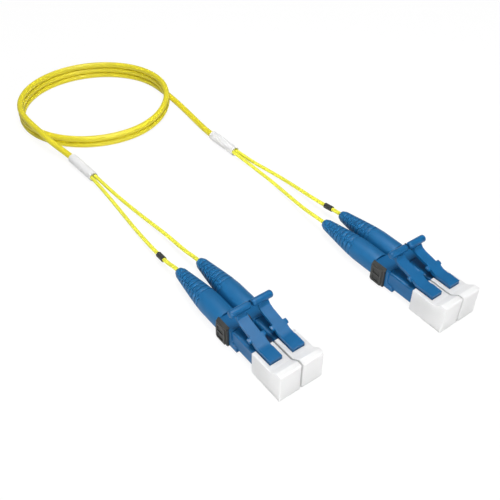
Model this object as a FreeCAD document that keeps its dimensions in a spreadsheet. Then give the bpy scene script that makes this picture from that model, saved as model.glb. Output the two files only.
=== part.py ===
"""Duplex LC to duplex LC fibre patch cord, built as a parametric FreeCAD document.

Row frame, millimetres: +X runs along the plugs towards their noses, +Z is up and
the floor is z = 0.  The origin is under the middle of the first duplex connector
("a"), at the floor.  The second connector ("b") is the same connector moved by
(far_end_x, far_end_y).  Every plug is drawn in its own frame, in which x = 0 is
the front face of its nose, y = 0 its middle plane and z = 0 the floor.
"""
import FreeCAD, Part
import math
import os
import re
import Sketcher
from FreeCAD import Placement, Rotation, Vector

# ---------------------------------------------------------------- driving dimensions
SIZES = {
    # the plug
    "nose_front": 17.4,
    "plug_pitch": 6.25,
    "axis_height": 3.35,
    "nose_size": 4.5,
    "nose_length": 13.1,
    "shoulder_size": 5.3,
    "shoulder_length": 0.85,
    "ledge_front": 11.0,
    "ledge_top": 2.0,
    "waist_size": 4.6,
    "housing_length": 18.4,
    "ferrule_recess_radius": 1.15,
    "flange_seat": 6.0,
    "flange_bore_radius": 1.42,
    # the latch
    "latch_width": 3.3,
    "arm_width": 2.85,
    "latch_top": 7.3,
    "latch_thickness": 0.7,
    "root_length": 1.7,
    "root_top": 6.5,
    "pivot_back": 0.75,
    "pivot_radius": 0.35,
    "pivot_clearance": 0.03,
    "lug_width": 4.6,
    "thumb_bar_back": 13.4,
    "thumb_bar_height": 11.2,
    "thumb_bar_radius": 0.95,
    "thumb_bar_length": 5.7,
    # ferrule, spring and crimp
    "ferrule_radius": 0.625,
    "ferrule_reach": 2.0,
    "ferrule_root": 7.9,
    "ferrule_chamfer": 0.12,
    "flange_radius": 1.3,
    "flange_length": 2.5,
    "tail_radius": 0.85,
    "tail_bore_radius": 0.6,
    "tail_length": 3.4,
    "spring_radius": 1.1,
    "spring_wire_radius": 0.12,
    "spring_turns": 5,
    "spring_steps_per_turn": 14,
    "backbone_front": 13.6,
    "backbone_radius": 1.4,
    "collar_radius": 1.95,
    "collar_length": 1.1,
    "post_radius": 1.15,
    "post_length": 3.4,
    "crimp_radius": 1.6,
    "crimp_length": 3.2,
    "buffer_radius": 0.55,
    "buffer_front": 10.6,
    # the boot
    "boot_radius": 3.05,
    "boot_length": 21.5,
    "boot_tip_radius": 1.2,
    "boot_bore_radius": 0.58,
    "boot_groove_width": 0.27,
    "boot_groove_pitch": 1.38,
    "boot_groove_count": 8,
    "boot_groove_first": 19.0,
    "boot_groove_floor": 1.57,
    "boot_groove_rise": 0.17,
    "boot_groove_angle": 96.0,
    # the dust cap
    "cap_width": 5.8,
    "cap_front": 5.1,
    "cap_back": 4.9,
    "cap_height": 7.9,
    "cap_shelf": 6.45,
    "cap_clearance": 0.05,
    "cap_slot_width": 3.6,
    "cap_bore_radius": 1.5,
    "cap_bore_depth": 3.4,
    # the duplex clip
    "clip_front": 14.0,
    "clip_length": 4.4,
    "clip_width": 12.7,
    "clip_top": 6.3,
    "clip_middle_top": 5.7,
    "clip_bottom": 0.35,
    "clip_opening": 4.7,
    "clip_chamfer": 0.75,
    "pad_back": 18.1,
    "pad_length": 3.5,
    "pad_proud": 0.3,
    "pad_bottom": 0.7,
    "pad_top": 5.5,
    "pad_pocket_height": 1.6,
    "pad_pocket_depth": 0.25,
    # cords and what is on them
    "leg_radius": 0.55,
    "leg_gap": 1.3,
    "trunk_radius": 1.0,
    "sleeve_radius": 1.5,
    "sleeve_length": 12.6,
    "marker_radius": 0.8,
    "marker_length": 3.0,
    "coil_radius": 25.5,
    "coil_x": -116.7,
    "coil_y": 20.3,
    # where the second connector lies
    "far_end_x": 7.2,
    "far_end_y": 42.8,
}

# Middle lines of the cords, in the row frame, in millimetres.
LEG_ROUTES = {
    "a1": [(-22.5, -3.125, 3.35), (-24.6, -3.2, 3.2), (-28.0, -3.5, 2.55), (-36.5, -3.35, 1.95),
           (-46.5, -2.6, 1.0), (-58.0, -1.65, 0.6), (-67.0, -1.25, 0.85), (-73.6, -1.2, 1.35),
           (-76.67, -1.324, 1.541)],
    "a2": [(-22.5, 3.125, 3.35), (-24.8, 3.05, 3.2), (-29.0, 2.8, 2.5), (-38.5, 2.7, 1.85),
           (-50.5, 2.05, 0.75), (-61.0, 1.2, 0.6), (-69.0, 0.55, 0.95), (-73.8, 0.2, 1.35),
           (-76.78, -0.03, 1.541)],
    "b1": [(-15.3, 39.675, 3.35), (-18.3, 39.67, 3.25), (-24.5, 40.05, 2.5), (-33.0, 41.35, 1.5),
           (-42.5, 42.6, 0.7), (-50.5, 42.75, 0.65), (-57.0, 42.15, 1.45),
           (-62.69, 42.039, 1.5)],
    "b2": [(-15.3, 45.925, 3.35), (-17.3, 45.88, 3.25), (-26.0, 45.6, 2.35), (-36.0, 46.25, 1.15),
           (-45.5, 45.85, 0.65), (-54.0, 44.4, 0.8), (-59.3, 43.5, 1.45),
           (-62.71, 43.339, 1.5)],
}
TRUNK_ROUTES = {
    "a": [(-87.964, -1.673, 2.259), (-90.15, -1.867, 2.399), (-93.6, -2.62, 2.85),
          (-97.13, -3.52, 3.55), (-100.93, -4.4, 4.35), (-105.49, -4.85, 4.85),
          (-115.81, -5.184, 5.0)],
    "b": [(-74.0, 42.5, 1.5), (-76.4, 42.46, 1.5), (-80.2, 42.95, 1.1), (-86.0, 43.63, 1.0),
          (-93.0, 44.45, 1.0), (-99.8, 45.15, 1.0), (-107.0, 45.68, 1.0),
          (-115.365, 45.765, 1.0)],
}
SLEEVES = {
    "a": ((-76.08, -0.62, 1.5), (-88.61, -1.73, 2.3)),
    "b": ((-62.05, 42.7, 1.5), (-74.65, 42.49, 1.5)),
}
MARKED_LEG = {"a": ("a1", 2, 2.8), "b": ("b2", 1, 2.95)}
COIL_TOP_START_DEG = -88.0
COIL_TOP_END_DEG = -272.0

doc = FreeCAD.newDocument("lc_duplex_patch_cord")
sheet = doc.addObject("Spreadsheet::Sheet", "Sizes")
parts = []


def fill_sheet():
    """Write every driving dimension into the sheet, one aliased cell each."""
    for row, (word, value) in enumerate(SIZES.items(), start=1):
        sheet.set("A%d" % row, word)
        sheet.set("B%d" % row, str(value))
        sheet.setAlias("B%d" % row, word)
    doc.recompute()


def size(word):
    """The number in the sheet under this alias."""
    return float(getattr(sheet, word))


def linked(text):
    """The expression text with every dimension's word pointed at the sheet."""
    return re.sub(r"[a-z_]{3,}", lambda found: "Sizes." + found.group()
                  if found.group() in SIZES else found.group(), text)


# ---------------------------------------------------------------- modelling helpers
def new_body(label, x=0.0, y=0.0, z=0.0):
    """An empty body at a place in the row frame."""
    body = doc.addObject("PartDesign::Body", label)
    body.Label = label
    body.Placement = Placement(Vector(x, y, z), Rotation())
    parts.append(body)
    return body


def new_sketch(body, role, offset="0"):
    """A sketch on one of the body's own origin planes, moved along its normal."""
    sketch = body.newObject("Sketcher::SketchObject", "Sketch")
    plane = [item for item in body.Origin.OriginFeatures if item.Role == role][0]
    sketch.AttachmentSupport = [(plane, "")]
    sketch.MapMode = "FlatFace"
    sketch.setExpression("AttachmentOffset.Base.z", linked(offset))
    return sketch


def pin_down(sketch, pins):
    """Fix points of a sketch, each given as (edge, point, across, up) with two expressions."""
    rules = [Sketcher.Constraint(kind, -1, 1, edge, point, 1.0)
             for edge, point, across, up in pins for kind in ("DistanceX", "DistanceY")]
    texts = [text for edge, point, across, up in pins for text in (across, up)]
    for number, text in zip(sketch.addConstraint(rules), texts):
        sketch.setExpression("Constraints[%d]" % number, linked(text))


def add_outline(sketch, corners):
    """A closed outline of straight lines through corners given as expressions."""
    count = len(corners)
    ring = [Vector(math.cos(2 * math.pi * i / count), math.sin(2 * math.pi * i / count), 0)
            for i in range(count)]
    first = sketch.GeometryCount
    sketch.addGeometry([Part.LineSegment(ring[i], ring[(i + 1) % count]) for i in range(count)])
    sketch.addConstraint([Sketcher.Constraint("Coincident", first + i, 2,
                                              first + (i + 1) % count, 1) for i in range(count)])
    pin_down(sketch, [(first + i, 1, *corner) for i, corner in enumerate(corners)])


def add_box(sketch, low_across, low_up, high_across, high_up):
    """A rectangle between two corners given as expressions."""
    add_outline(sketch, [(low_across, low_up), (high_across, low_up),
                         (high_across, high_up), (low_across, high_up)])


def add_circle(sketch, across, up, radius):
    """A circle whose middle and radius are expressions."""
    edge = sketch.addGeometry(Part.Circle(Vector(0, 0, 0), Vector(0, 0, 1), 1.0))
    pin_down(sketch, [(edge, 3, across, up)])
    number = sketch.addConstraint(Sketcher.Constraint("Radius", edge, 1.0))
    sketch.setExpression("Constraints[%d]" % number, linked(radius))


def pad(body, sketch, length, both_ways=False):
    """Add material along the sketch's normal, or evenly to both its sides."""
    feature = body.newObject("PartDesign::Pad", "Pad")
    feature.Profile = sketch
    feature.SideType = "Symmetric" if both_ways else "One side"
    feature.setExpression("Length", linked(length))
    doc.recompute()
    return feature


def pocket(body, sketch, length, both_ways=False, along_normal=False):
    """Cut material, and make sure that something was really cut."""
    before = body.Shape.Volume
    feature = body.newObject("PartDesign::Pocket", "Pocket")
    feature.Profile = sketch
    feature.SideType = "Symmetric" if both_ways else "One side"
    feature.Reversed = along_normal
    feature.setExpression("Length", linked(length))
    doc.recompute()
    if body.Shape.Volume > before - 1e-6:
        raise RuntimeError("%s: a pocket cut nothing" % body.Label)
    return feature


def sector_cut(body, sketch, angle):
    """Cut by turning a sketch about its horizontal axis, half the angle each way."""
    before = body.Shape.Volume
    feature = body.newObject("PartDesign::Groove", "Slots")
    feature.Profile = sketch
    feature.ReferenceAxis = (sketch, ["H_Axis"])
    feature.Midplane = True
    feature.Angle = angle
    doc.recompute()
    if body.Shape.Volume > before - 1e-6:
        raise RuntimeError("%s: a groove cut nothing" % body.Label)
    return feature


def turned(label, x, y, corners, z=None):
    """A body turned about the plug's axis from (along, radius) corners."""
    body = new_body(label, x, y, size("axis_height") if z is None else z)
    sketch = new_sketch(body, "XZ_Plane")
    add_outline(sketch, corners)
    feature = body.newObject("PartDesign::Revolution", "Turned")
    feature.Profile = sketch
    feature.ReferenceAxis = (sketch, ["H_Axis"])
    feature.Angle = 360.0
    doc.recompute()
    return body


def soft_edges(body, radius, chosen):
    """Round the edges of the body's tip that the test picks."""
    tip = body.Tip
    names = ["Edge%d" % (i + 1) for i, edge in enumerate(tip.Shape.Edges) if chosen(edge)]
    if not names:
        raise RuntimeError("%s: no edge to round" % body.Label)
    fillet = body.newObject("PartDesign::Fillet", "Softened")
    fillet.Base = (tip, names)
    fillet.Radius = radius
    doc.recompute()


def runs_along(edge, axis):
    """True if the edge is a straight line along this axis."""
    if not isinstance(edge.Curve, (Part.Line, Part.LineSegment)):
        return False
    way = edge.tangentAt(edge.FirstParameter)
    return abs(way.dot(axis)) > 0.999


# ---------------------------------------------------------------- pieces of one plug
def plug_housing(label, x, y):
    """Nose, shoulder, waist for the clip, latch root and the bores for the ferrule."""
    body = new_body(label, x, y)
    stretches = [("nose_size", "nose_length", "0 - nose_length"),
                 ("shoulder_size", "shoulder_length", "0 - nose_length - shoulder_length"),
                 ("waist_size", "housing_length - nose_length - shoulder_length",
                  "0 - housing_length")]
    for width, length, back in stretches:
        sketch = new_sketch(body, "YZ_Plane", back)
        add_box(sketch, "0 - %s / 2" % width, "axis_height - %s / 2" % width,
                "%s / 2" % width, "axis_height + %s / 2" % width)
        pad(body, sketch, length)
    corner = (size("nose_size") / 2) ** 2
    soft_edges(body, 0.55, lambda edge: runs_along(edge, Vector(1, 0, 0)) and abs(
        edge.CenterOfMass.y ** 2 - corner) < 0.01 and edge.CenterOfMass.x > -size("nose_length"))
    ledge = new_sketch(body, "XZ_Plane")
    foot = "axis_height - shoulder_size / 2"
    plate = "0 - nose_length - shoulder_length / 2"
    add_outline(ledge, [(plate, foot), ("0 - ledge_front", foot), ("0 - ledge_front", "ledge_top"),
                        ("0 - nose_length + 1.3", "ledge_top"),
                        ("0 - nose_length + 0.7", "ledge_top + 0.2"),
                        ("0 - nose_length + 0.25", "ledge_top + 0.65"),
                        ("0 - nose_length", "ledge_top + 1.3"), (plate, "ledge_top + 1.3")])
    pad(body, ledge, "shoulder_size", both_ways=True)
    root = new_sketch(body, "XZ_Plane")
    nose_top = "axis_height + nose_size / 2"
    add_outline(root, [("0 - root_length", nose_top + " - 0.3"), ("0", nose_top + " - 0.3"),
                       ("0", "root_top"), ("0 - pivot_back", "root_top"),
                       ("0 - root_length", "root_top - 0.25")])
    pad(body, root, "latch_width", both_ways=True)
    seat = new_sketch(body, "XZ_Plane")
    add_circle(seat, "0 - pivot_back", "root_top", "pivot_radius + pivot_clearance")
    pocket(body, seat, "latch_width + 1", both_ways=True)
    recess = new_sketch(body, "YZ_Plane", "0")
    add_circle(recess, "0", "axis_height", "ferrule_recess_radius")
    pocket(body, recess, "flange_seat + 1")
    bore = new_sketch(body, "YZ_Plane", "0 - housing_length")
    add_circle(bore, "0", "axis_height", "flange_bore_radius")
    pocket(body, bore, "housing_length - flange_seat", along_normal=True)
    return body


def latch_arm(label, x, y):
    """Springy arm over the nose: flat root, two locking lugs and the thumb bar."""
    body = new_body(label, x, y)
    under = "latch_top - latch_thickness"
    root = new_sketch(body, "XZ_Plane")
    add_outline(root, [
        ("0", "latch_top"), ("-2.9", "latch_top + 0.15"), ("-3.6", "latch_top - 0.05"),
        ("-5.1", "latch_top + 0.15"), ("-6.2", "latch_top + 0.75"), ("-7.2", "latch_top + 1"),
        ("-7.2", under + " + 0.87"), ("-6.6", under + " + 0.7"), ("-5.4", under + " + 0.1"),
        ("-4.2", under), ("0", under)])
    pad(body, root, "latch_width", both_ways=True)
    arm = new_sketch(body, "XZ_Plane")
    add_outline(arm, [
        ("-7", "latch_top + 0.95"), ("-8.2", "latch_top + 1.25"),
        ("-10.9", "latch_top + 1.85"), ("-12.1", "latch_top + 2.4"),
        ("0 - thumb_bar_back + 0.6", "thumb_bar_height - 0.55"),
        ("0 - thumb_bar_back + 0.35", "thumb_bar_height"),
        ("0 - thumb_bar_back - 0.35", "thumb_bar_height"),
        ("0 - thumb_bar_back - 0.2", "thumb_bar_height - 0.9"),
        ("-12.7", under + " + 2.6"), ("-11.3", under + " + 1.95"), ("-8.4", under + " + 1.2"),
        ("-7", under + " + 0.81")])
    pad(body, arm, "arm_width", both_ways=True)
    lug = new_sketch(body, "XZ_Plane")
    add_outline(lug, [("-6.4", "latch_top + 0.2"), ("-6.4", "latch_top + 0.6"),
                      ("-6.65", "latch_top + 0.83"), ("-7.35", "latch_top + 1"),
                      ("-7.6", "latch_top + 0.9"), ("-7.6", "latch_top + 0.5")])
    pad(body, lug, "lug_width", both_ways=True)
    bar = new_sketch(body, "XZ_Plane")
    add_circle(bar, "0 - thumb_bar_back", "thumb_bar_height", "thumb_bar_radius")
    pad(body, bar, "thumb_bar_length", both_ways=True)
    bead = new_sketch(body, "XZ_Plane")
    add_circle(bead, "0 - pivot_back", "root_top", "pivot_radius")
    pad(body, bead, "latch_width - 0.1", both_ways=True)
    reach = size("thumb_bar_length") / 2
    soft_edges(body, 0.55, lambda edge: isinstance(edge.Curve, Part.Circle) and abs(
        abs(edge.CenterOfMass.y) - reach) < 0.01)
    return body


def ferrule(label, x, y):
    """Zirconia ferrule with its chamfered tip."""
    return turned(label, x, y, [
        ("0 - ferrule_root", "0"), ("ferrule_reach", "0"),
        ("ferrule_reach", "ferrule_radius - ferrule_chamfer"),
        ("ferrule_reach - ferrule_chamfer", "ferrule_radius"),
        ("0 - ferrule_root", "ferrule_radius")])


def ferrule_flange(label, x, y):
    """Flange that holds the ferrule and carries the spring on its hollow tail."""
    back = "0 - flange_seat - 0.05 - flange_length"
    return turned(label, x, y, [
        ("0 - flange_seat - 0.05", "ferrule_radius"), ("0 - flange_seat - 0.05", "flange_radius"),
        (back, "flange_radius"), (back, "tail_radius"), (back + " - tail_length", "tail_radius"),
        (back + " - tail_length", "tail_bore_radius"),
        ("0 - ferrule_root", "tail_bore_radius"), ("0 - ferrule_root", "ferrule_radius")])


def spring(label, x, y):
    """Compression spring between the flange and the backbone."""
    wire = size("spring_wire_radius")
    radius = size("spring_radius")
    front = -size("flange_seat") - size("flange_length") - 0.05 - wire - 0.03
    back = -size("backbone_front") + wire + 0.03
    steps = int(size("spring_steps_per_turn"))
    count = int(size("spring_turns")) * steps
    knots = [Vector(radius * math.cos(2 * math.pi * i / steps),
                    radius * math.sin(2 * math.pi * i / steps), (front - back) * i / count)
             for i in range(count + 1)]
    section = Part.Wire([Part.makeCircle(wire, knots[0], knots[1] - knots[0])])
    coil = Part.makePolygon(knots).makePipeShell([section], True, False, 1)
    item = doc.addObject("Part::Feature", label)
    item.Label = label
    item.Shape = coil
    item.Placement = Placement(Vector(x + back, y, size("axis_height")),
                               Rotation(Vector(0, 0, 1), Vector(1, 0, 0)))
    parts.append(item)
    return item


def backbone(label, x, y):
    """Rear insert: spigot in the housing, collar against it and the crimp post."""
    collar_back = "0 - housing_length - collar_length"
    return turned(label, x, y, [
        ("0 - backbone_front", "tail_bore_radius"), ("0 - backbone_front", "backbone_radius"),
        ("0 - housing_length", "backbone_radius"), ("0 - housing_length", "collar_radius"),
        (collar_back, "collar_radius"), (collar_back, "post_radius"),
        (collar_back + " - post_length", "post_radius"),
        (collar_back + " - post_length", "tail_bore_radius")])


def crimp_sleeve(label, x, y):
    """Metal sleeve crimped over the post."""
    front = "0 - housing_length - collar_length - 0.1"
    return turned(label, x, y, [
        (front, "post_radius + 0.02"), (front, "crimp_radius"),
        (front + " - crimp_length", "crimp_radius"),
        (front + " - crimp_length", "post_radius + 0.02")])


def boot(label, x, y):
    """Tapered strain relief boot with rows of cross slots towards its tip."""
    front = "0 - housing_length - 0.05"
    tip = "0 - housing_length - boot_length"
    well = "0 - housing_length - collar_length - 0.05"
    crimp_end = "0 - housing_length - collar_length - crimp_length - 0.4"
    body = turned(label, x, y, [
        (front, "collar_radius + 0.05"), (front, "boot_radius - 0.1"),
        ("-19.1", "boot_radius"), ("-25.5", "boot_radius"), ("-28.5", "boot_radius - 0.2"),
        ("-32.0", "boot_radius - 0.6"), ("-35.5", "boot_radius - 1.05"),
        ("-38.6", "boot_tip_radius + 0.4"), ("-39.6", "boot_tip_radius"),
        (tip, "boot_tip_radius - 0.4"), (tip, "boot_bore_radius"),
        (crimp_end, "boot_bore_radius"), (crimp_end, "crimp_radius + 0.05"),
        (well, "crimp_radius + 0.05"), (well, "collar_radius + 0.05")])
    for role, shift in (("XZ_Plane", "0"), ("XY_Plane", "1 / 2")):
        slots = new_sketch(body, role)
        for number in range(int(size("boot_groove_count"))):
            step = "(%d + %s)" % (number, shift)
            start = "0 - housing_length - boot_groove_first + boot_groove_pitch * " + step
            floor = "(boot_groove_floor + boot_groove_rise * %s)" % step
            for side in ("", "0 - "):
                add_box(slots, start, side + floor, start + " + boot_groove_width",
                        side + "(boot_radius + 0.5)")
        sector_cut(body, slots, size("boot_groove_angle"))
    return body


def fibre_buffer(label, x, y):
    """Stretch of the cable that runs inside the boot, up to the ferrule's tail."""
    return turned(label, x, y, [
        ("0 - housing_length - boot_length", "0"), ("0 - buffer_front", "0"),
        ("0 - buffer_front", "buffer_radius"),
        ("0 - housing_length - boot_length", "buffer_radius")])


def dust_cap(label, x, y):
    """Cap over the nose, open at the back, slotted for the latch's root."""
    body = new_body(label, x, y)
    side = new_sketch(body, "XZ_Plane")
    add_outline(side, [("0 - cap_back", "0.25"), ("0 - cap_back + 0.6", "0"),
                       ("cap_front - 0.2", "0"), ("cap_front", "0.2"),
                       ("cap_front", "cap_height - 0.3"), ("cap_front - 0.3", "cap_height"),
                       ("3.5", "cap_height"), ("1.7", "cap_shelf + 0.1"), ("1.2", "cap_shelf"),
                       ("0 - cap_back", "cap_shelf")])
    pad(body, side, "cap_width", both_ways=True)
    reach = size("cap_width") / 2
    front = size("cap_front")
    soft_edges(body, 0.3, lambda edge: runs_along(edge, Vector(0, 0, 1)) and abs(
        abs(edge.CenterOfMass.y) - reach) < 0.01 and abs(edge.CenterOfMass.x - front) < 0.01)
    inside = "(nose_size / 2 + cap_clearance)"
    cavity = new_sketch(body, "YZ_Plane", "0 - cap_back")
    add_box(cavity, "0 - " + inside, "axis_height - " + inside, inside, "axis_height + " + inside)
    pocket(body, cavity, "cap_back + 0.15", along_normal=True)
    bore = new_sketch(body, "YZ_Plane", "0")
    add_circle(bore, "0", "axis_height", "cap_bore_radius")
    pocket(body, bore, "cap_bore_depth", along_normal=True)
    slot = new_sketch(body, "YZ_Plane", "0 - cap_back")
    add_box(slot, "0 - cap_slot_width / 2", "axis_height", "cap_slot_width / 2", "cap_height")
    pocket(body, slot, "cap_back + 0.15", along_normal=True)
    return body


# ---------------------------------------------------------------- pieces of one connector
def duplex_clip(label, x, y):
    """Clip that holds two plugs side by side, with a grip pad on each flank."""
    body = new_body(label, x, y)
    half = "clip_width / 2"
    far = "(plug_pitch / 2 + clip_opening / 2)"
    near = "(plug_pitch / 2 - clip_opening / 2)"
    bed = "axis_height - clip_opening / 2"
    outer = [(half + " - 0.3", "clip_bottom"), (half, "clip_bottom + 0.3"),
             (half, "clip_top - clip_chamfer"), (half + " - clip_chamfer", "clip_top"),
             (far, "clip_top"), (far, bed), (near, bed), (near, "clip_middle_top")]
    frame = new_sketch(body, "YZ_Plane", "0 - clip_front - clip_length")
    add_outline(frame, outer + [("0 - (%s)" % across, up) for across, up in reversed(outer)])
    pad(body, frame, "clip_length")
    back = "0 - pad_back"
    for side in (1, -1):
        sign = "" if side > 0 else "0 - "
        flank = new_sketch(body, "XZ_Plane", "%s(0 - %s)" % (sign, half))
        add_outline(flank, [(back, "pad_bottom + 0.4"), (back + " + 0.4", "pad_bottom"),
                            (back + " + pad_length", "pad_bottom"),
                            (back + " + pad_length", "pad_top"), (back + " + 0.5", "pad_top"),
                            (back, "pad_top - 0.6")])
        rib = pad(body, flank, "pad_proud")
        rib.Reversed = side > 0
        doc.recompute()
        face = new_sketch(body, "XZ_Plane", "%s(0 - %s - pad_proud)" % (sign, half))
        for low in ("pad_bottom + 0.55", "pad_bottom + 2.65"):
            add_box(face, back + " + 0.6", low, back + " + pad_length - 0.6",
                    low + " + pad_pocket_height")
        pocket(body, face, "pad_pocket_depth", along_normal=side > 0)
    return body


# ---------------------------------------------------------------- cords
def rounded_path(points, label):
    """Straight runs joined by tangent arcs, each as large as its two runs allow."""
    points = [Vector(*point) for point in points]
    edges = []
    radii = []
    start = points[0]
    for before, corner, after in zip(points, points[1:], points[2:]):
        into = (corner - before).normalize()
        out = (after - corner).normalize()
        turn = into.getAngle(out)
        cut = 0.45 * min(before.distanceToPoint(corner), corner.distanceToPoint(after))
        radius = cut / math.tan(turn / 2)
        radii.append(radius)
        first = corner - into * cut
        last = corner + out * cut
        inward = (out - into).normalize()
        middle = corner + inward * (radius / math.cos(turn / 2) - radius)
        edges.append(Part.LineSegment(start, first).toShape())
        edges.append(Part.Arc(first, middle, last).toShape())
        start = last
    edges.append(Part.LineSegment(start, points[-1]).toShape())
    print(label, "bend radii", [round(radius, 1) for radius in radii])
    return Part.Wire(edges)


def cord_tube(label, points, radius):
    """Plain round tube along a route."""
    path = rounded_path(points, label)
    way = Vector(*points[1]) - Vector(*points[0])
    section = Part.Wire([Part.makeCircle(radius, Vector(*points[0]), way)])
    tube = path.makePipeShell([section], True, True)
    wanted = math.pi * radius ** 2 * path.Length
    print(label, "length %.1f volume %.1f of %.1f" % (path.Length, tube.Volume, wanted))
    item = doc.addObject("Part::Feature", label)
    item.Label = label
    item.Shape = tube
    parts.append(item)


def lay_along(body, start, way):
    """Turn a body's X axis along a direction and put its origin at a point."""
    body.Placement = Placement(Vector(*start), Rotation(Vector(1, 0, 0), way))


def breakout_sleeve(label, front, rear):
    """Sleeve where the trunk splits into two legs, with a shallow well at each end."""
    way = Vector(*rear) - Vector(*front)
    body = turned(label, 0, 0, [
        ("0", "leg_gap / 2 + leg_radius + 0.05"), ("0", "sleeve_radius - 0.1"),
        ("0.1", "sleeve_radius"), ("sleeve_length - 0.1", "sleeve_radius"),
        ("sleeve_length", "sleeve_radius - 0.1"), ("sleeve_length", "trunk_radius + 0.02"),
        ("sleeve_length - 0.7", "trunk_radius + 0.02"), ("sleeve_length - 0.7", "0"),
        ("0.7", "0"), ("0.7", "leg_gap / 2 + leg_radius + 0.05")])
    lay_along(body, front, way)


def marker_ring(label, points, run, along):
    """Short ring on one leg, centred a distance along one of its straight runs."""
    start = Vector(*points[run])
    way = (Vector(*points[run + 1]) - start).normalize()
    body = turned(label, 0, 0, [
        ("0 - marker_length / 2", "leg_radius"), ("marker_length / 2", "leg_radius"),
        ("marker_length / 2", "marker_radius"), ("0 - marker_length / 2", "marker_radius")])
    lay_along(body, start + way * along, way)


def ring_sector(start_deg, sweep_deg, low, high):
    """Part of the coil's outer shape: a ring of the cord's width over an angle."""
    inner = size("coil_radius") - size("trunk_radius")
    corners = [Vector(inner, 0, low), Vector(inner + 2 * size("trunk_radius"), 0, low),
               Vector(inner + 2 * size("trunk_radius"), 0, high), Vector(inner, 0, high)]
    face = Part.Face(Part.makePolygon(corners + [corners[0]]))
    face.rotate(Vector(0, 0, 0), Vector(0, 0, 1), start_deg)
    return face.revolve(Vector(0, 0, 0), Vector(0, 0, 1), sweep_deg)


def coil(label):
    """Outer shape of the trunk's coil: two layers all round and a third over part."""
    layer = 2 * size("trunk_radius")
    shape = ring_sector(0, 360, 0, 2 * layer)
    sweep = COIL_TOP_END_DEG - COIL_TOP_START_DEG
    shape = shape.fuse(ring_sector(COIL_TOP_START_DEG, sweep, 2 * layer - 0.01, 3 * layer))
    item = doc.addObject("Part::Feature", label)
    item.Label = label
    item.Shape = shape
    item.Placement = Placement(Vector(size("coil_x"), size("coil_y"), 0), Rotation())
    parts.append(item)


# ---------------------------------------------------------------- the whole part
PLUG_PIECES = {
    "plug_housing": plug_housing, "latch_arm": latch_arm, "ferrule": ferrule,
    "ferrule_flange": ferrule_flange, "spring": spring, "backbone": backbone,
    "crimp_sleeve": crimp_sleeve, "boot": boot, "fibre_buffer": fibre_buffer,
    "dust_cap": dust_cap,
}


def build_connector(name, x, y):
    """Two plugs side by side in their clip."""
    half = size("plug_pitch") / 2
    for number, side in ((1, -half), (2, half)):
        for word, make in PLUG_PIECES.items():
            make("%s%d_%s" % (name, number, word), x + size("nose_front"), y + side)
    duplex_clip("%s_duplex_clip" % name, x + size("nose_front"), y)


def build_cords():
    """Legs, trunk, coil, sleeves and marker rings."""
    for name, points in LEG_ROUTES.items():
        cord_tube("cord_leg_%s" % name, points, size("leg_radius"))
    for name, points in TRUNK_ROUTES.items():
        cord_tube("cord_trunk_%s" % name, points, size("trunk_radius"))
    for name, (front, rear) in SLEEVES.items():
        breakout_sleeve("%s_breakout_sleeve" % name, front, rear)
    for name, (leg, run, along) in MARKED_LEG.items():
        marker_ring("%s_marker_ring" % name, LEG_ROUTES[leg], run, along)
    coil("cord_coil")


def check_document():
    """Stop if any object failed to compute or any sub-part has a bad shape."""
    doc.recompute()
    for item in doc.Objects:
        if "Invalid" in item.State or "Error" in item.State:
            raise RuntimeError("%s did not compute: %s" % (item.Label, item.State))
    for item in parts:
        if item.Shape.isNull() or not item.Shape.isValid() or len(item.Shape.Solids) != 1:
            raise RuntimeError("%s has a bad shape" % item.Label)


def write_parts():
    """Write one STEP file for each sub-part."""
    os.makedirs("parts", exist_ok=True)
    for item in parts:
        item.Shape.exportStep("parts/%s.step" % item.Label)
    print(len(parts), "sub-parts written")


fill_sheet()
build_connector("a", 0.0, 0.0)
build_connector("b", size("far_end_x"), size("far_end_y"))
build_cords()
check_document()
write_parts()
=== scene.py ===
"""Finished look of a duplex LC patch cord, laid out as a Blender add-on and run as a script."""

import math

import bmesh
import bpy
from bpy.props import FloatProperty, FloatVectorProperty, IntProperty, PointerProperty
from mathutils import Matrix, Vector


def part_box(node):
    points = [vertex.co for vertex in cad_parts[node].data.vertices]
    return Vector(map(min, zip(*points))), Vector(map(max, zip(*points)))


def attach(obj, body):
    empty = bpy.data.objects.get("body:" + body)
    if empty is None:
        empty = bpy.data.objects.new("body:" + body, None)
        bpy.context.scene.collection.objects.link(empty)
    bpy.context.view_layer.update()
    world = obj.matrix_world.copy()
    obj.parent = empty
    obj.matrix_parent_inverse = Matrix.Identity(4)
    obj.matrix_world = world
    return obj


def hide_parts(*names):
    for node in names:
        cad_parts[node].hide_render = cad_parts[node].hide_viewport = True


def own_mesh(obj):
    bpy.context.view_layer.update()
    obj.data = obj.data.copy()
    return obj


bl_info = {
    "name": "Duplex patch cord",
    "version": (1, 0, 0),
    "blender": (4, 5, 0),
    "location": "View3D > Sidebar > Patch Cord",
    "description": "Builds the finished pieces of a duplex fibre patch cord around its frame",
    "category": "Object",
}

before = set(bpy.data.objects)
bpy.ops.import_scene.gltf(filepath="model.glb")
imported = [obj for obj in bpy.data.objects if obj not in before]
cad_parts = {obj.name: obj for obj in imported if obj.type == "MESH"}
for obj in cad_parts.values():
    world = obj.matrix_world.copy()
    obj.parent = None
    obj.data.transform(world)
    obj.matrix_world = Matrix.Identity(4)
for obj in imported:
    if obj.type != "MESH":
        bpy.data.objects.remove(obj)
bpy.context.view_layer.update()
CORD_BODY = "patch_cord"
PLUGS = ("a1", "a2", "b1", "b2")
ENDS = ("a", "b")
CORE_FINISHES = {"ferrule": "ceramic", "ferrule_flange": "metal", "backbone": "metal",
                 "crimp_sleeve": "metal", "fibre_buffer": "leg_jacket_painted_lighter"}

# The finishes, once they are made.
STORE = {}

# An edge that turns more than this is sharp, and gets its rounding.
SHARP_ANGLE = math.radians(32.0)

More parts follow.
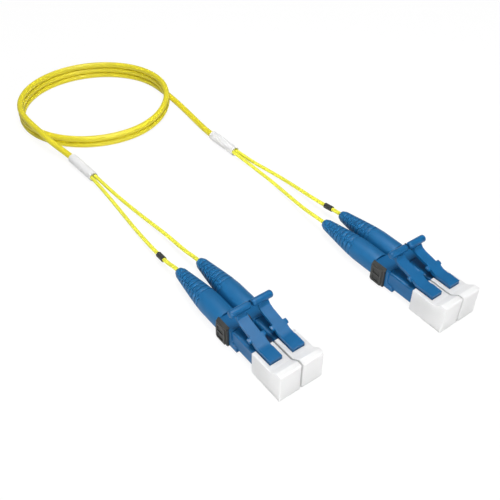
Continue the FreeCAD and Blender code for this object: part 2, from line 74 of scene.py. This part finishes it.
# The coil's layers: how high the middle of the first turn lies, in trunk diameters, the angles
# wound where a turn begins to step down by one, and the angle that such a step takes.
FIRST_LAYER = 2.5
LAYER_STEPS = (math.radians(188.0), math.radians(548.0))
STEP_ANGLE = math.radians(80.0)

# Flow marks in a plastic's colour and patches in its gloss, in features per metre, and how far
# the patches go below and above the finish's own roughness.
FLOW_MARKS = 450.0
GLOSS_PATCHES = 900.0
SMOOTHER = 0.05
ROUGHER = 0.07

# Where the lamps stand and the points they look at, in metres.
TOP_LAMP = (0.0, 0.03, 0.50)
SIDE_LAMPS = {"left_lamp": (0.10, -0.38, 0.15), "right_lamp": (0.42, -0.02, 0.14)}
FLOOR_AIM = (0.0, 0.02, 0.0)
PLUGS_AIM = (0.010, 0.018, 0.004)

# Middle lines of the legs and of the trunk's two tails, in metres.
LEG_ROUTES = {
    "a1": [(-0.0225, -0.003125, 0.00335), (-0.0246, -0.0032, 0.0032),
           (-0.0280, -0.0035, 0.00255), (-0.0365, -0.00335, 0.00195),
           (-0.0465, -0.0026, 0.0010), (-0.0580, -0.00165, 0.0006),
           (-0.0670, -0.00125, 0.00085), (-0.0736, -0.0012, 0.00135),
           (-0.07667, -0.001324, 0.001541)],
    "a2": [(-0.0225, 0.003125, 0.00335), (-0.0248, 0.00305, 0.0032),
           (-0.0290, 0.0028, 0.0025), (-0.0385, 0.0027, 0.00185),
           (-0.0505, 0.00205, 0.00075), (-0.0610, 0.0012, 0.0006),
           (-0.0690, 0.00055, 0.00095), (-0.0738, 0.0002, 0.00135),
           (-0.07678, -0.00003, 0.001541)],
    "b1": [(-0.0153, 0.039675, 0.00335), (-0.0183, 0.03967, 0.00325),
           (-0.0245, 0.04005, 0.0025), (-0.0330, 0.04135, 0.0015),
           (-0.0425, 0.0426, 0.0007), (-0.0505, 0.04275, 0.00065),
           (-0.0570, 0.04215, 0.00145), (-0.06269, 0.042039, 0.0015)],
    "b2": [(-0.0153, 0.045925, 0.00335), (-0.0173, 0.04588, 0.00325),
           (-0.0260, 0.0456, 0.00235), (-0.0360, 0.04625, 0.00115),
           (-0.0455, 0.04585, 0.00065), (-0.0540, 0.0444, 0.0008),
           (-0.0593, 0.0435, 0.00145), (-0.06271, 0.043339, 0.0015)],
}
TAIL_A = [(-0.087964, -0.001673, 0.002259), (-0.09015, -0.001867, 0.002399),
          (-0.0936, -0.00262, 0.00285), (-0.09713, -0.00352, 0.00355),
          (-0.10093, -0.0044, 0.00435), (-0.10549, -0.00485, 0.00485)]
TAIL_B = [(-0.1070, 0.04568, 0.0010), (-0.0998, 0.04515, 0.0010), (-0.0930, 0.04445, 0.0010),
          (-0.0860, 0.04363, 0.0010), (-0.0802, 0.04295, 0.0011), (-0.0764, 0.04246, 0.0015),
          (-0.0740, 0.0425, 0.0015)]


# ---------------------------------------------------------------- settings
class CordSizes(bpy.types.PropertyGroup):
    """Sizes of the cord and of the small repeated details."""
    leg: FloatProperty(name="Leg", description="Diameter of a thin leg",
                       default=0.0011, unit="LENGTH", precision=5)
    trunk: FloatProperty(name="Trunk", description="Diameter of the trunk",
                         default=0.0020, unit="LENGTH", precision=5)
    coil_radius: FloatProperty(name="Coil radius", description="Middle line of the coil's turns",
                               default=0.0255, unit="LENGTH", precision=5)
    coil_x: FloatProperty(name="Coil X", description="Middle of the coil along X",
                          default=-0.1167, unit="LENGTH", precision=5)
    coil_y: FloatProperty(name="Coil Y", description="Middle of the coil along Y",
                          default=0.0203, unit="LENGTH", precision=5)
    coil_start: FloatProperty(name="Coil start", description="Where the top turn begins",
                              default=math.radians(-88.0), unit="ROTATION")
    coil_sweep: FloatProperty(name="Coil sweep", description="Angle wound in all the turns",
                              default=math.radians(905.0), unit="ROTATION", max=100.0)
    points_per_turn: IntProperty(name="Points per turn", description="Control points in a turn",
                                 default=24, min=12)
    edge: FloatProperty(name="Edge", description="Rounding of a moulded piece's edges",
                        default=0.00009, unit="LENGTH", precision=5)
    cord_edge: FloatProperty(name="Cord edge", description="Rounding of the sleeves and rings",
                             default=0.00008, unit="LENGTH", precision=5)
    boot_edge: FloatProperty(name="Boot edge", description="Rounding of the boots' edges",
                             default=0.00005, unit="LENGTH", precision=5)
    spring_wire: FloatProperty(name="Spring wire", description="Radius of the springs' wire",
                               default=0.00012, unit="LENGTH", precision=5)
    spring_turns: IntProperty(name="Spring turns", description="Turns of each plug's spring",
                              default=5, min=2)


class FinishColours(bpy.types.PropertyGroup):
    """Colours of the finishes."""
    housing: FloatVectorProperty(name="Housing", description="Plug mouldings", subtype="COLOR",
                                 default=(0.005, 0.121, 0.312))
    boot: FloatVectorProperty(name="Boot", description="Strain relief boots", subtype="COLOR",
                              default=(0.009, 0.139, 0.342))
    cap: FloatVectorProperty(name="Cap", description="Dust caps", subtype="COLOR",
                             default=(0.89, 0.89, 0.89))
    sleeve: FloatVectorProperty(name="Sleeve", description="Breakout sleeves", subtype="COLOR",
                                default=(0.9, 0.9, 0.9))
    clip: FloatVectorProperty(name="Clip", description="Duplex clips", subtype="COLOR",
                              default=(0.044, 0.045, 0.042))
    jacket: FloatVectorProperty(name="Jacket", description="Trunk's jacket", subtype="COLOR",
                                default=(0.89, 0.775, 0.028))
    # The legs' jacket is the trunk's yellow painted lighter: painted light on the thin legs, against
    # their shaded edges.
    leg_jacket_painted_lighter: FloatVectorProperty(name="Leg jacket", description="Jackets of the thin legs",
                                    subtype="COLOR", default=(0.94, 0.915, 0.075))
    metal: FloatVectorProperty(name="Metal", description="Flanges and crimps", subtype="COLOR",
                               default=(0.62, 0.60, 0.56))
    ceramic: FloatVectorProperty(name="Ceramic", description="Ferrules", subtype="COLOR",
                                 default=(0.88, 0.87, 0.82))
    steel: FloatVectorProperty(name="Steel", description="Springs", subtype="COLOR",
                               default=(0.55, 0.55, 0.56))


class StageSettings(bpy.types.PropertyGroup):
    """Camera, lamps and floor."""
    camera_place: FloatVectorProperty(name="Camera", description="Where the camera stands",
                                      default=(0.08789, -0.06228, 0.11744), subtype="XYZ",
                                      unit="LENGTH")
    heading: FloatProperty(name="Heading", description="Turn of the view from +Y towards -X",
                           default=math.radians(53.49), unit="ROTATION")
    tilt: FloatProperty(name="Tilt", description="How far the camera looks down",
                        default=math.radians(40.83), unit="ROTATION")
    lens: FloatProperty(name="Lens", description="Focal length", default=47.64, unit="CAMERA")
    floor_size: FloatProperty(name="Floor", description="Side of the floor", default=4.0,
                              unit="LENGTH")
    floor_drop: FloatProperty(name="Floor drop", description="How far it lies below the cord",
                              default=0.00002, unit="LENGTH", precision=5)
    floor_glow: FloatProperty(name="Floor glow", description="Strength of the floor's own white",
                              default=1.06)
    glow_share: FloatProperty(name="Glow share", description="Share of it that the camera sees",
                              default=0.85, subtype="FACTOR", min=0.0, max=1.0)
    lamp: FloatProperty(name="Lamp", description="Power of the main lamp", default=1.95,
                        unit="POWER")
    lamp_size: FloatProperty(name="Lamp size", description="Side of the main lamp",
                             default=0.25, unit="LENGTH")
    beam: FloatProperty(name="Beam", description="Power of each narrow lamp at the plugs' sides",
                        default=0.018, unit="POWER", precision=4)
    beam_size: FloatProperty(name="Beam size", description="Side of each narrow lamp",
                             default=0.12, unit="LENGTH")
    beam_spread: FloatProperty(name="Beam spread", description="Opening of the narrow lamps",
                               default=math.radians(24.0), unit="ROTATION")
    fill: FloatProperty(name="Fill", description="Strength of the light all round", default=0.2)


# ---------------------------------------------------------------- material helpers
class Recipe:
    """A new material, with short ways to add and join its nodes."""

    def __init__(self, name):
        self.material = bpy.data.materials.new(name)
        self.material.use_nodes = True
        self.tree = self.material.node_tree
        self.shader = self.tree.nodes["Principled BSDF"]

    def node(self, kind, **values):
        """A node with its own settings and its input values."""
        made = self.tree.nodes.new(kind)
        for word, value in values.items():
            if word in made.inputs.keys():
                made.inputs[word].default_value = value
            else:
                setattr(made, word, value)
        return made

    def join(self, out, socket):
        """Link an output to an input."""
        self.tree.links.new(out, socket)

    def set(self, **values):
        """Constants on the shader's own sockets."""
        for word, value in values.items():
            self.shader.inputs[word.replace("_", " ")].default_value = value

    def noise(self, scale, detail=3.0):
        """Noise in the piece's own coordinates, in features per metre."""
        place = self.node("ShaderNodeTexCoord")
        grain = self.node("ShaderNodeTexNoise", Scale=scale, Detail=detail)
        self.join(place.outputs["Object"], grain.inputs["Vector"])
        return grain.outputs["Fac"]

    def blend(self, factor, dark, light):
        """A colour between two, by a factor."""
        ramp = self.node("ShaderNodeMix", data_type="RGBA")
        ramp.inputs["A"].default_value = (*dark, 1.0)
        ramp.inputs["B"].default_value = (*light, 1.0)
        self.join(factor, ramp.inputs["Factor"])
        return ramp.outputs["Result"]

    def rough(self, factor, low, high):
        """Roughness that follows a factor between two values."""
        span = self.node("ShaderNodeMapRange")
        span.inputs["To Min"].default_value = low
        span.inputs["To Max"].default_value = high
        self.join(factor, span.inputs["Value"])
        self.join(span.outputs["Result"], self.shader.inputs["Roughness"])

    def bump(self, height, distance, strength=1.0):
        """A fine surface relief, its depth in metres."""
        relief = self.node("ShaderNodeBump", Distance=distance, Strength=strength)
        self.join(height, relief.inputs["Height"])
        self.join(relief.outputs["Normal"], self.shader.inputs["Normal"])


def shade(colour, amount):
    """The colour made lighter or darker."""
    return tuple(min(1.0, part * amount) for part in colour)


def moulded(name, colour, roughness, grain, depth, variation):
    """Moulded plastic: faint flow marks in its colour and a fine grain, its depth in metres."""
    recipe = Recipe(name)
    marks = recipe.noise(FLOW_MARKS)
    tint = recipe.blend(marks, shade(colour, 1 - variation), shade(colour, 1 + variation))
    recipe.join(tint, recipe.shader.inputs["Base Color"])
    recipe.rough(recipe.noise(GLOSS_PATCHES), roughness - SMOOTHER, roughness + ROUGHER)
    recipe.bump(recipe.noise(grain, 2.0), depth)
    recipe.set(IOR=1.5)
    return recipe


def make_finishes(colours):
    """Every material of the cord, by name."""
    finishes = {}
    housing = moulded("moulded_blue", colours.housing, roughness=0.33, grain=9000.0,
                      depth=0.0000015, variation=0.06)
    housing.set(Specular_IOR_Level=0.42)
    finishes["housing"] = housing.material
    boot = moulded("soft_blue", colours.boot, roughness=0.46, grain=7000.0,
                   depth=0.000002, variation=0.06)
    boot.set(Specular_IOR_Level=0.38)
    finishes["boot"] = boot.material
    cap = moulded("cap_white", colours.cap, roughness=0.38, grain=6000.0,
                  depth=0.000001, variation=0.01)
    cap.set(Subsurface_Weight=0.5, Subsurface_Scale=0.003, Subsurface_Radius=(1.0, 1.0, 1.0))
    finishes["cap"] = cap.material
    sleeve = moulded("sleeve_white", colours.sleeve, roughness=0.5, grain=5000.0,
                     depth=0.000001, variation=0.01)
    finishes["sleeve"] = sleeve.material
    clip = moulded("clip_charcoal", colours.clip, roughness=0.5, grain=8000.0,
                   depth=0.000003, variation=0.12)
    finishes["clip"] = clip.material
    jacket = moulded("yellow_jacket", colours.jacket, roughness=0.42, grain=3500.0,
                     depth=0.000001, variation=0.04)
    jacket.set(Specular_IOR_Level=0.6)
    finishes["jacket"] = jacket.material
    # A lighter copy of the jacket for the legs: painted light, so the thin legs stay bright where the
    # trunk keeps its darker yellow.
    leg_jacket_painted_lighter = moulded("yellow_leg_jacket_painted_lighter", colours.leg_jacket_painted_lighter, roughness=0.42, grain=3500.0,
                         depth=0.000001, variation=0.03)
    finishes["leg_jacket_painted_lighter"] = leg_jacket_painted_lighter.material
    ceramic = moulded("zirconia", colours.ceramic, roughness=0.12, grain=9000.0,
                      depth=0.000001, variation=0.01)
    finishes["ceramic"] = ceramic.material
    metal = moulded("plated_metal", colours.metal, roughness=0.3, grain=12000.0,
                    depth=0.000003, variation=0.05)
    metal.set(Metallic=1.0)
    finishes["metal"] = metal.material
    steel = moulded("spring_wire", colours.steel, roughness=0.25, grain=12000.0,
                    depth=0.000002, variation=0.05)
    steel.set(Metallic=1.0)
    finishes["steel"] = steel.material
    return finishes


def finish_of(word):
    """A finish by its name, made with all the others on first use."""
    if "finishes" not in STORE:
        STORE["finishes"] = make_finishes(bpy.context.scene.cord_colours)
    return STORE["finishes"][word]


# ---------------------------------------------------------------- mesh helpers
def add_object(name, data):
    """A new object at the origin, linked to the scene."""
    piece = bpy.data.objects.new(name, data)
    bpy.context.scene.collection.objects.link(piece)
    return piece


def finished(node, finish, edge, body, segments=2):
    """A merged copy of a frame piece with its sharp edges rounded, standing for it."""
    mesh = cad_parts[node].data.copy()
    shape = bmesh.new()
    shape.from_mesh(mesh)
    bmesh.ops.remove_doubles(shape, verts=shape.verts, dist=1e-7)
    bmesh.ops.dissolve_limit(shape, angle_limit=math.radians(0.5), verts=shape.verts,
                             edges=shape.edges)
    shape.to_mesh(mesh)
    shape.free()
    mesh.materials.clear()
    mesh.materials.append(finish_of(finish))
    piece = add_object("%s_finished" % node, mesh)
    mesh.polygons.foreach_set("use_smooth", [True] * len(mesh.polygons))
    mesh.set_sharp_from_angle(angle=SHARP_ANGLE)
    bevel = piece.modifiers.new("edges", "BEVEL")
    bevel.width = edge
    bevel.segments = segments
    bevel.limit_method = "ANGLE"
    bevel.angle_limit = SHARP_ANGLE
    bevel.use_clamp_overlap = True
    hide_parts(node)
    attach(piece, body)
    return piece


def recoat(node, finish):
    """Put a finish on a frame piece that keeps its own mesh."""
    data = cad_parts[node].data
    data.materials.clear()
    data.materials.append(finish_of(finish))


# ---------------------------------------------------------------- cords
def cord_curve(name, points, diameter, finish):
    """A smooth round cord with its route's points as control points."""
    curve = bpy.data.curves.new(name, "CURVE")
    curve.dimensions = "3D"
    line = curve.splines.new("NURBS")
    line.points.add(len(points) - 1)
    for knot, place in zip(line.points, points):
        knot.co = (*place, 1.0)
    line.order_u = 3
    line.use_endpoint_u = True
    curve.resolution_u = 8
    curve.bevel_depth = diameter / 2
    curve.bevel_resolution = 5
    curve.use_fill_caps = True
    curve.materials.append(finish_of(finish))
    return add_object(name, curve)


def coil_points(sizes):
    """The wound turns, top to bottom: each layer steps down where a turn has left."""
    step = 2 * math.pi / sizes.points_per_turn
    radius = sizes.coil_radius / math.cos(step / 2)
    count = round(sizes.coil_sweep / step)
    points = []
    for i in range(count + 1):
        wound = sizes.coil_sweep * i / count
        turn = sizes.coil_start - wound
        stepped = sum(smooth_step((wound - start) / STEP_ANGLE) for start in LAYER_STEPS)
        height = sizes.trunk * (FIRST_LAYER - stepped)
        points.append((sizes.coil_x + radius * math.cos(turn),
                       sizes.coil_y + radius * math.sin(turn), height))
    return points


def smooth_step(along):
    """A soft step from 0 to 1."""
    held = min(1.0, max(0.0, along))
    return held * held * (3 - 2 * held)


def plug_pieces(plug):
    """Every piece of one plug, outer mouldings first."""
    shells = [bpy.data.objects["%s_%s_finished" % (plug, word)]
              for word in ("boot", "plug_housing", "latch_arm", "dust_cap")]
    cores = [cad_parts["%s_%s" % (plug, word)] for word in CORE_FINISHES]
    return shells + cores + [bpy.data.objects["%s_spring_wire" % plug]]


# ---------------------------------------------------------------- operators
class PATCHCORD_OT_plugs(bpy.types.Operator):
    """Plug housings and their latch arms, with rounded moulded edges"""
    bl_idname = "patchcord.plugs"
    bl_label = "Plugs"

    def execute(self, context):
        edge = context.scene.cord_sizes.edge
        for plug in PLUGS:
            finished("%s_plug_housing" % plug, "housing", edge, CORD_BODY)
            finished("%s_latch_arm" % plug, "housing", edge, "%s_latch" % plug)
        return {"FINISHED"}


class PATCHCORD_OT_boots(bpy.types.Operator):
    """Strain relief boots"""
    bl_idname = "patchcord.boots"
    bl_label = "Boots"

    def execute(self, context):
        edge = context.scene.cord_sizes.boot_edge
        for plug in PLUGS:
            finished("%s_boot" % plug, "boot", edge, CORD_BODY, 1)
        return {"FINISHED"}


class PATCHCORD_OT_caps(bpy.types.Operator):
    """White dust caps"""
    bl_idname = "patchcord.caps"
    bl_label = "Dust caps"

    def execute(self, context):
        edge = context.scene.cord_sizes.edge
        for plug in PLUGS:
            finished("%s_dust_cap" % plug, "cap", edge, "%s_cap" % plug)
        return {"FINISHED"}


class PATCHCORD_OT_clips(bpy.types.Operator):
    """Dark clips that join two plugs"""
    bl_idname = "patchcord.clips"
    bl_label = "Duplex clips"

    def execute(self, context):
        edge = context.scene.cord_sizes.edge
        for end in ENDS:
            finished("%s_duplex_clip" % end, "clip", edge, CORD_BODY)
        return {"FINISHED"}


class PATCHCORD_OT_cores(bpy.types.Operator):
    """Ferrules, flanges, backbones and crimp sleeves"""
    bl_idname = "patchcord.cores"
    bl_label = "Plug cores"

    def execute(self, context):
        for plug in PLUGS:
            for piece, finish in CORE_FINISHES.items():
                recoat("%s_%s" % (plug, piece), finish)
        return {"FINISHED"}


def spring_tree():
    """Geometry nodes that wind a wire along X, with named sizes."""
    tree = bpy.data.node_groups.new("wound_spring", "GeometryNodeTree")
    face = tree.interface
    for word in ("Radius", "Wire", "Length", "Turns"):
        face.new_socket(word, in_out="INPUT", socket_type="NodeSocketFloat")
    face.new_socket("Place", in_out="INPUT", socket_type="NodeSocketVector")
    face.new_socket("Material", in_out="INPUT", socket_type="NodeSocketMaterial")
    face.new_socket("Geometry", in_out="OUTPUT", socket_type="NodeSocketGeometry")
    nodes, join = tree.nodes, tree.links.new
    given = nodes.new("NodeGroupInput")
    result = nodes.new("NodeGroupOutput")
    winding = nodes.new("GeometryNodeCurveSpiral")
    winding.inputs["Resolution"].default_value = 20
    wire = nodes.new("GeometryNodeCurvePrimitiveCircle")
    wire.inputs["Resolution"].default_value = 10
    sweep = nodes.new("GeometryNodeCurveToMesh")
    sweep.inputs["Fill Caps"].default_value = True
    turned = nodes.new("GeometryNodeTransform")
    turned.inputs["Rotation"].default_value = (0.0, math.radians(90.0), 0.0)
    real = nodes.new("GeometryNodeRealizeInstances")
    coat = nodes.new("GeometryNodeSetMaterial")
    join(given.outputs["Radius"], winding.inputs["Start Radius"])
    join(given.outputs["Radius"], winding.inputs["End Radius"])
    join(given.outputs["Length"], winding.inputs["Height"])
    join(given.outputs["Turns"], winding.inputs["Rotations"])
    join(given.outputs["Wire"], wire.inputs["Radius"])
    join(winding.outputs["Curve"], sweep.inputs["Curve"])
    join(wire.outputs["Curve"], sweep.inputs["Profile Curve"])
    join(sweep.outputs["Mesh"], turned.inputs["Geometry"])
    join(given.outputs["Place"], turned.inputs["Translation"])
    join(turned.outputs["Geometry"], real.inputs["Geometry"])
    join(real.outputs["Geometry"], coat.inputs["Geometry"])
    join(given.outputs["Material"], coat.inputs["Material"])
    join(coat.outputs["Geometry"], result.inputs["Geometry"])
    return tree


def grown(name, tree, values):
    """Run geometry nodes once and keep their result as a plain mesh."""
    holder = add_object("%s_holder" % name, bpy.data.meshes.new(name))
    modifier = holder.modifiers.new("nodes", "NODES")
    modifier.node_group = tree
    for item in tree.interface.items_tree:
        if item.in_out == "INPUT" and item.name in values:
            modifier[item.identifier] = values[item.name]
    evaluated = holder.evaluated_get(bpy.context.evaluated_depsgraph_get())
    mesh = bpy.data.meshes.new_from_object(evaluated)
    bpy.data.objects.remove(holder)
    mesh.name = name
    mesh.polygons.foreach_set("use_smooth", [True] * len(mesh.polygons))
    return add_object(name, mesh)


class PATCHCORD_OT_springs(bpy.types.Operator):
    """Compression springs that push the ferrules forward"""
    bl_idname = "patchcord.springs"
    bl_label = "Springs"

    def execute(self, context):
        sizes = context.scene.cord_sizes
        wire = sizes.spring_wire
        tree = spring_tree()
        for plug in PLUGS:
            low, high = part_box("%s_spring" % plug)
            middle = (Vector(low) + Vector(high)) / 2
            values = {"Radius": (high[2] - low[2]) / 2 - wire, "Wire": wire,
                      "Length": high[0] - low[0] - 2 * wire,
                      "Turns": float(sizes.spring_turns),
                      "Place": (low[0] + wire, middle.y, middle.z),
                      "Material": finish_of("steel")}
            piece = grown("%s_spring_wire" % plug, tree, values)
            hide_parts("%s_spring" % plug)
            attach(piece, CORD_BODY)
            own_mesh(piece)
        return {"FINISHED"}


class PATCHCORD_OT_cords(bpy.types.Operator):
    """Coiled trunk, four legs, breakout sleeves and marker rings"""
    bl_idname = "patchcord.cords"
    bl_label = "Cords"

    def execute(self, context):
        sizes = context.scene.cord_sizes
        edge = sizes.cord_edge
        sleeves = {end: finished("%s_breakout_sleeve" % end, "sleeve", edge, CORD_BODY) for end in ENDS}
        rings = {end: finished("%s_marker_ring" % end, "clip", edge, CORD_BODY) for end in ENDS}
        turns = coil_points(sizes)
        trunk = cord_curve("trunk_cord", TAIL_A + turns + TAIL_B, sizes.trunk, "jacket")
        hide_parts("cord_trunk_a", "cord_coil", "cord_trunk_b")
        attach(trunk, CORD_BODY)
        for plug, route in LEG_ROUTES.items():
            leg = cord_curve("leg_cord_%s" % plug, route, sizes.leg, "leg_jacket_painted_lighter")
            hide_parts("cord_leg_%s" % plug)
            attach(leg, CORD_BODY)
            if plug.startswith("a"):
                with_pieces = [sleeves["a"]] + ([rings["a"]] if plug == "a1" else [])
            else:
                with_pieces = plug_pieces(plug)
                if plug == "b2":
                    with_pieces += [rings["b"], bpy.data.objects["b_duplex_clip_finished"]]
        return {"FINISHED"}


def soft_lamp(name, place, aim, size, power):
    """A square soft light that looks at a point."""
    lamp = bpy.data.lights.new(name, "AREA")
    lamp.size = size
    lamp.energy = power
    stand = add_object(name, lamp)
    stand.location = place
    stand.rotation_euler = (Vector(aim) - Vector(place)).to_track_quat("-Z", "Y").to_euler()
    return stand


def floor_finish(glow_strength, glow_share):
    """White floor that the camera sees nearly white and that keeps a soft shadow."""
    recipe = Recipe("studio_floor")
    recipe.set(Base_Color=(0.8, 0.8, 0.8, 1.0), Roughness=0.9, Specular_IOR_Level=0.1)
    glow = recipe.node("ShaderNodeEmission", Strength=glow_strength)
    glow.inputs["Color"].default_value = (1.0, 1.0, 1.0, 1.0)
    seen = recipe.node("ShaderNodeLightPath")
    share = recipe.node("ShaderNodeMath", operation="MULTIPLY")
    share.inputs[1].default_value = glow_share
    mixed = recipe.node("ShaderNodeMixShader")
    out = recipe.tree.nodes["Material Output"]
    recipe.join(seen.outputs["Is Camera Ray"], share.inputs[0])
    recipe.join(share.outputs[0], mixed.inputs[0])
    recipe.join(recipe.shader.outputs[0], mixed.inputs[1])
    recipe.join(glow.outputs[0], mixed.inputs[2])
    recipe.join(mixed.outputs[0], out.inputs["Surface"])
    return recipe.material


def studio_world(fill):
    """White surroundings to the camera, and only a weak fill light to the object."""
    world = bpy.data.worlds.new("studio")
    world.use_nodes = True
    tree = world.node_tree
    soft = tree.nodes["Background"]
    soft.inputs["Color"].default_value = (1.0, 1.0, 1.0, 1.0)
    soft.inputs["Strength"].default_value = fill
    white = tree.nodes.new("ShaderNodeBackground")
    white.inputs["Color"].default_value = (1.0, 1.0, 1.0, 1.0)
    seen = tree.nodes.new("ShaderNodeLightPath")
    mixed = tree.nodes.new("ShaderNodeMixShader")
    tree.links.new(seen.outputs["Is Camera Ray"], mixed.inputs[0])
    tree.links.new(soft.outputs[0], mixed.inputs[1])
    tree.links.new(white.outputs[0], mixed.inputs[2])
    tree.links.new(mixed.outputs[0], tree.nodes["World Output"].inputs["Surface"])
    return world


class PATCHCORD_OT_stage(bpy.types.Operator):
    """Floor, lamps, world and camera"""
    bl_idname = "patchcord.stage"
    bl_label = "Stage"

    def execute(self, context):
        stage = context.scene.cord_stage
        half = stage.floor_size / 2
        plane = bpy.data.meshes.new("floor")
        corners = [(-half, -half), (half, -half), (half, half), (-half, half)]
        plane.from_pydata([(x, y, -stage.floor_drop) for x, y in corners], [], [(0, 1, 2, 3)])
        plane.materials.append(floor_finish(stage.floor_glow, stage.glow_share))
        add_object("floor", plane)
        soft_lamp("top_lamp", TOP_LAMP, FLOOR_AIM, stage.lamp_size, stage.lamp)
        for name, place in SIDE_LAMPS.items():
            beam = soft_lamp(name, place, PLUGS_AIM, stage.beam_size, stage.beam)
            beam.data.spread = stage.beam_spread
        context.scene.world = studio_world(stage.fill)
        context.scene.view_settings.view_transform = "Standard"
        lens = bpy.data.cameras.new("camera")
        lens.lens = stage.lens
        lens.sensor_width = 36.0
        lens.clip_start = 0.01
        lens.clip_end = 10.0
        camera = add_object("camera", lens)
        camera.location = stage.camera_place
        way = Vector((-math.sin(stage.heading) * math.cos(stage.tilt),
                      math.cos(stage.heading) * math.cos(stage.tilt), -math.sin(stage.tilt)))
        camera.rotation_euler = way.to_track_quat("-Z", "Y").to_euler()
        context.scene.camera = camera
        return {"FINISHED"}


class PATCHCORD_PT_panel(bpy.types.Panel):
    """Buttons that build the patch cord"""
    bl_idname = "PATCHCORD_PT_panel"
    bl_label = "Patch cord"
    bl_space_type = "VIEW_3D"
    bl_region_type = "UI"
    bl_category = "Patch Cord"

    def draw(self, context):
        for step in STEPS:
            self.layout.operator(step.bl_idname)
        for group in (context.scene.cord_sizes, context.scene.cord_colours,
                      context.scene.cord_stage):
            for word in group.__annotations__:
                self.layout.prop(group, word)


STEPS = (PATCHCORD_OT_plugs, PATCHCORD_OT_boots, PATCHCORD_OT_caps, PATCHCORD_OT_clips,
         PATCHCORD_OT_cores, PATCHCORD_OT_springs, PATCHCORD_OT_cords, PATCHCORD_OT_stage)
GROUPS = {"cord_sizes": CordSizes, "cord_colours": FinishColours, "cord_stage": StageSettings}


def register():
    """Register the settings, the operators and the panel."""
    for word, group in GROUPS.items():
        bpy.utils.register_class(group)
        setattr(bpy.types.Scene, word, PointerProperty(type=group))
    for step in STEPS:
        bpy.utils.register_class(step)
    bpy.utils.register_class(PATCHCORD_PT_panel)


def unregister():
    """Take away what register added."""
    bpy.utils.unregister_class(PATCHCORD_PT_panel)
    for step in reversed(STEPS):
        bpy.utils.unregister_class(step)
    for word, group in GROUPS.items():
        delattr(bpy.types.Scene, word)
        bpy.utils.unregister_class(group)


def main():
    """Build everything."""
    register()
    bpy.ops.patchcord.plugs()
    bpy.ops.patchcord.boots()
    bpy.ops.patchcord.caps()
    bpy.ops.patchcord.clips()
    bpy.ops.patchcord.cores()
    bpy.ops.patchcord.springs()
    bpy.ops.patchcord.cords()
    bpy.ops.patchcord.stage()


if __name__ == "__main__":
    main()
